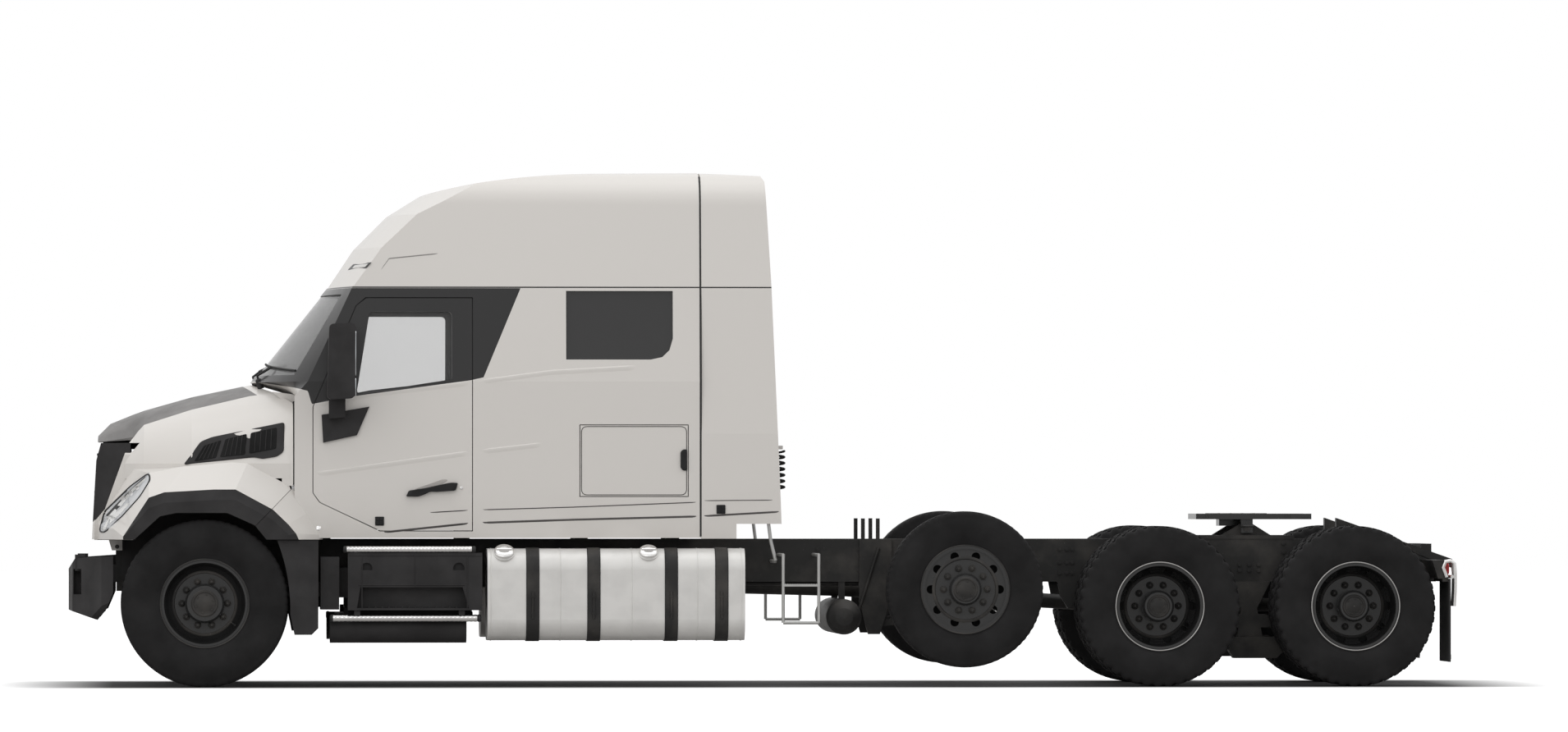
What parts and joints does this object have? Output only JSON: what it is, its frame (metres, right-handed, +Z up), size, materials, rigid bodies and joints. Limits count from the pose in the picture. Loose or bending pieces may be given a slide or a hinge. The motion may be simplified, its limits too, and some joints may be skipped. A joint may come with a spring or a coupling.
{
  "type": "heavy-haul truck tractor unit",
  "caption": "Conventional sleeper-cab truck tractor with tilting hood, opening doors, steered front wheels, lifted pusher axle, tandem drive axles and a rocking fifth wheel.",
  "frame": {"origin": "on the ground under the middle of the overall box", "axes": "+X rearward, +Y to the truck's right side, +Z up"},
  "size_m": [9.385, 2.88, 3.466],
  "materials": {
    "aluminium": "satin",
    "cab_paint": "gloss",
    "cabin_trim": "matte",
    "cast_iron": "matte",
    "dark_plastic": "satin",
    "frame_black": "satin",
    "glass": "polished",
    "hose": "satin",
    "lamp_glass": "polished",
    "red_lens": "gloss",
    "rubber": "matte",
    "tank_metal": "satin",
    "tyre": "matte",
    "wheel_black": "gloss"
  },
  "bodies": {
    "chassis": {"air_lines": "hose", "air_tank": "frame_black", "bunk": "cabin_trim", "cab_shell": "cab_paint", "dashboard": "cabin_trim", "deck_steps": "aluminium", "drive_axles": "frame_black", "engine_block": "cast_iron", "fifth_wheel_base": "frame_black", "fixed_glass": "glass", "frame": "frame_black", "front_axle": "frame_black", "front_bumper": "dark_plastic", "front_springs": "frame_black", "fuel_tanks": "tank_metal", "mudflaps": "rubber", "pusher_axle": "frame_black", "radiator": "aluminium", "roof_fairing": "cab_paint", "seats": "cabin_trim", "side_extenders": "cab_paint", "sleeper_shell": "cab_paint", "splash_guards": "dark_plastic", "step_boxes": "dark_plastic", "suspension": "frame_black", "tail_lights": "red_lens", "tank_straps": "frame_black"},
    "hood": {"fender_flares": "dark_plastic", "grille": "dark_plastic", "headlights": "lamp_glass", "hood_cap": "dark_plastic", "hood_shell": "cab_paint"},
    "door_left": {"door_left": "cab_paint", "door_glass_left": "glass", "mirror_left": "dark_plastic"},
    "luggage_door_left": {"luggage_door_left": "cab_paint"},
    "knuckle_left": {"knuckle_left": "frame_black"},
    "steer_wheel_left": {"steer_left_tyre": "tyre", "steer_left_wheel": "wheel_black"},
    "pusher_wheel_left": {"pusher_left_tyre": "tyre", "pusher_left_wheel": "wheel_black"},
    "drive_wheels_front_left": {"drive_front_left_tyres": "tyre", "drive_front_left_rims": "wheel_black"},
    "drive_wheels_rear_left": {"drive_rear_left_tyres": "tyre", "drive_rear_left_rims": "wheel_black"},
    "door_right": {"door_right": "cab_paint", "door_glass_right": "glass", "mirror_right": "dark_plastic"},
    "luggage_door_right": {"luggage_door_right": "cab_paint"},
    "knuckle_right": {"knuckle_right": "frame_black"},
    "steer_wheel_right": {"steer_right_tyre": "tyre", "steer_right_wheel": "wheel_black"},
    "pusher_wheel_right": {"pusher_right_tyre": "tyre", "pusher_right_wheel": "wheel_black"},
    "drive_wheels_front_right": {"drive_front_right_tyres": "tyre", "drive_front_right_rims": "wheel_black"},
    "drive_wheels_rear_right": {"drive_rear_right_tyres": "tyre", "drive_rear_right_rims": "wheel_black"},
    "tie_rod": {"tie_rod": "frame_black"},
    "fifth_wheel": {"fifth_wheel": "wheel_black"}
  },
  "joints": [
    {"name": "hood_tilt", "type": "hinge", "parent": "chassis", "child": "hood", "pos_m": [-4.3675, 0, 0.94], "axis": [0, -1, 0], "range_deg": [0, 60]},
    {"name": "door_left_swing", "type": "hinge", "parent": "chassis", "child": "door_left", "pos_m": [-3.0625, -1.06, 1.5], "axis": [0, 0, -1], "range_deg": [0, 70]},
    {"name": "door_right_swing", "type": "hinge", "parent": "chassis", "child": "door_right", "pos_m": [-3.0625, 1.06, 1.5], "axis": [0, 0, 1], "range_deg": [0, 70]},
    {"name": "luggage_door_left_swing", "type": "hinge", "parent": "chassis", "child": "luggage_door_left", "pos_m": [-1.2595, -1.06, 1.5], "axis": [0, 0, -1], "range_deg": [0, 90]},
    {"name": "luggage_door_right_swing", "type": "hinge", "parent": "chassis", "child": "luggage_door_right", "pos_m": [-1.2595, 1.06, 1.5], "axis": [0, 0, 1], "range_deg": [0, 90]},
    {"name": "steering_left", "type": "hinge", "parent": "chassis", "child": "knuckle_left", "pos_m": [-3.7775, -0.87, 0.562], "axis": [0, 0, 1], "range_deg": [-33, 33]},
    {"name": "steering_right", "type": "hinge", "parent": "chassis", "child": "knuckle_right", "pos_m": [-3.7775, 0.87, 0.562], "axis": [0, 0, 1], "range_deg": [-33, 33]},
    {"name": "tie_rod_pin", "type": "hinge", "parent": "knuckle_left", "child": "tie_rod", "pos_m": [-3.5975, -0.87, 0.5], "axis": [0, 0, 1], "range_deg": [-33, 33]},
    {"name": "steer_wheel_left_spin", "type": "hinge", "parent": "knuckle_left", "child": "steer_wheel_left", "pos_m": [-3.7775, -1.03, 0.562], "axis": [0, 1, 0], "continuous": true},
    {"name": "pusher_wheel_left_spin", "type": "hinge", "parent": "chassis", "child": "pusher_wheel_left", "pos_m": [1.3215, -1.09, 0.654], "axis": [0, 1, 0], "continuous": true},
    {"name": "drive_wheels_front_left_spin", "type": "hinge", "parent": "chassis", "child": "drive_wheels_front_left", "pos_m": [2.632, -0.918, 0.54], "axis": [0, 1, 0], "continuous": true},
    {"name": "drive_wheels_rear_left_spin", "type": "hinge", "parent": "chassis", "child": "drive_wheels_rear_left", "pos_m": [3.953, -0.918, 0.54], "axis": [0, 1, 0], "continuous": true},
    {"name": "steer_wheel_right_spin", "type": "hinge", "parent": "knuckle_right", "child": "steer_wheel_right", "pos_m": [-3.7775, 1.03, 0.562], "axis": [0, 1, 0], "continuous": true},
    {"name": "pusher_wheel_right_spin", "type": "hinge", "parent": "chassis", "child": "pusher_wheel_right", "pos_m": [1.3215, 1.09, 0.654], "axis": [0, 1, 0], "continuous": true},
    {"name": "drive_wheels_front_right_spin", "type": "hinge", "parent": "chassis", "child": "drive_wheels_front_right", "pos_m": [2.632, 0.918, 0.54], "axis": [0, 1, 0], "continuous": true},
    {"name": "drive_wheels_rear_right_spin", "type": "hinge", "parent": "chassis", "child": "drive_wheels_rear_right", "pos_m": [3.953, 0.918, 0.54], "axis": [0, 1, 0], "continuous": true},
    {"name": "fifth_wheel_rock", "type": "hinge", "parent": "chassis", "child": "fifth_wheel", "pos_m": [3.2925, 0, 1.062], "axis": [0, 1, 0], "range_deg": [-12, 12]}
  ],
  "couplings": [
    {"joint": "steering_right", "follows": "steering_left", "ratio": 1},
    {"joint": "tie_rod_pin", "follows": "steering_left", "ratio": -1}
  ]
}
